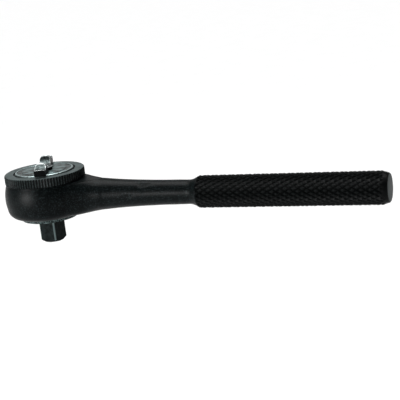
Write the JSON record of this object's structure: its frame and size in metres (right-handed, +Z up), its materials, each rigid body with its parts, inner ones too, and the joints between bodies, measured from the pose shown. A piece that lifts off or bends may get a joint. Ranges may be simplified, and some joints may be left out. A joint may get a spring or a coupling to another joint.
{
  "type": "ratchet wrench",
  "caption": "Round-head reversible ratchet wrench with a knurled speed ring, thumb shift lever, square drive with detent ball, and a knurled straight handle.",
  "frame": {"origin": "centre of the square drive's end face", "axes": "+Z up the drive axis from the square's end to the shift lever, +X from the drive axis along the handle"},
  "size_m": [0.1301, 0.0282, 0.028],
  "materials": {
    "black_oxide_forging": "satin black oxide over a fine forged grain",
    "black_oxide_grip": "black oxide over diamond knurling",
    "black_oxide_ring": "black oxide, turned top and knurled rim",
    "black_oxide_core": "mottled black oxide",
    "cover_steel": "satin plated steel with a bright rim",
    "bright_lever": "satin chrome",
    "spring_steel": "dark spring steel",
    "hard_steel": "ground hardened steel"
  },
  "bodies": {
    "handle": {"handle_forging": "black_oxide_forging", "friction_washer": "spring_steel"},
    "core": {"drive_core": "black_oxide_core", "speed_ring": "black_oxide_ring", "ring_dowels": "hard_steel", "cover_plate": "cover_steel", "cover_snap_ring": "spring_steel", "core_snap_ring": "spring_steel", "retaining_washer": "black_oxide_core", "pawl_pins": "hard_steel", "pawl_spring_left": "spring_steel", "pawl_spring_right": "spring_steel", "lever_detent_spring": "spring_steel", "drive_ball_spring": "spring_steel"},
    "lever": {"shift_lever": "bright_lever", "shift_cam": "hard_steel"},
    "left_pawl": {"pawl_left": "hard_steel"},
    "right_pawl": {"pawl_right": "hard_steel"},
    "detent_ball": {"lever_detent_ball": "hard_steel"},
    "retention_ball": {"drive_ball": "hard_steel"}
  },
  "joints": [
    {"name": "drive_spin", "type": "hinge", "parent": "handle", "child": "core", "pos_m": [0, 0, 0.012], "axis": [0, 0, 1], "continuous": true},
    {"name": "lever_shift", "type": "hinge", "parent": "core", "child": "lever", "pos_m": [0, 0, 0.0246], "axis": [0, 0, 1], "range_deg": [-62, 0]},
    {"name": "left_pawl_pivot", "type": "hinge", "parent": "core", "child": "left_pawl", "pos_m": [0.00529, 0.00444, 0.0163], "axis": [0, 0, 1], "range_deg": [-12, 0], "deforming": ["pawl_spring_left"]},
    {"name": "right_pawl_pivot", "type": "hinge", "parent": "core", "child": "right_pawl", "pos_m": [0.00345, -0.00598, 0.0163], "axis": [0, 0, 1], "range_deg": [-12, 0], "deforming": ["pawl_spring_right"]},
    {"name": "detent_ball_travel", "type": "slide", "parent": "core", "child": "detent_ball", "axis": [0, 0, -1], "range_m": [0, 0.0003], "stiffness_N_per_m": 800, "springref_m": -0.001, "deforming": ["lever_detent_spring"]},
    {"name": "drive_ball_press", "type": "slide", "parent": "core", "child": "retention_ball", "axis": [-0.1736, -0.9848, 0], "range_m": [0, 0.0005], "stiffness_N_per_m": 1200, "springref_m": -0.001, "deforming": ["drive_ball_spring"]}
  ],
  "couplings": [
    {"joint": "left_pawl_pivot", "follows": "lever_shift", "ratio": 0.19355},
    {"joint": "right_pawl_pivot", "follows": "lever_shift", "ratio": 0.19355}
  ]
}
